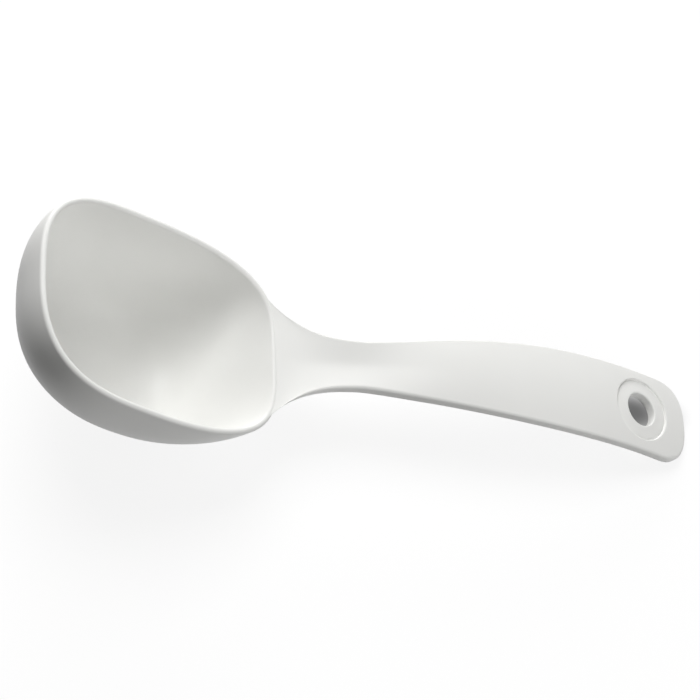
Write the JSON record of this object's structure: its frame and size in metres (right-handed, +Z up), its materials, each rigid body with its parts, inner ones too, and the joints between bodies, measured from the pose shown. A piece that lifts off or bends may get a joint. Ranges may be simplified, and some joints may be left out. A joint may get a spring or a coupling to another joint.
{
  "type": "soup ladle",
  "caption": "Short moulded plastic soup ladle with a deep, squared oval bowl and a flat, bent-over handle whose rounded end has a recessed hanging hole.",
  "frame": {"origin": "on the table, under the middle of the ladle's box as it lies on its heel and the end of its handle", "axes": "+X from the bowl's tip to the handle's end, +Y across the bowl, +Z up from the table"},
  "size_m": [0.2088, 0.0636, 0.0669],
  "materials": {
    "bowl_plastic": "satin moulded, off-white",
    "handle_root_plastic": "satin moulded, off-white",
    "handle_grip_plastic": "satin moulded, off-white",
    "hanging_end_plastic": "satin moulded, off-white"
  },
  "bodies": {
    "root": {"bowl": "bowl_plastic", "handle_root": "handle_root_plastic", "handle_grip": "handle_grip_plastic", "hanging_end": "hanging_end_plastic"}
  },
  "joints": []
}
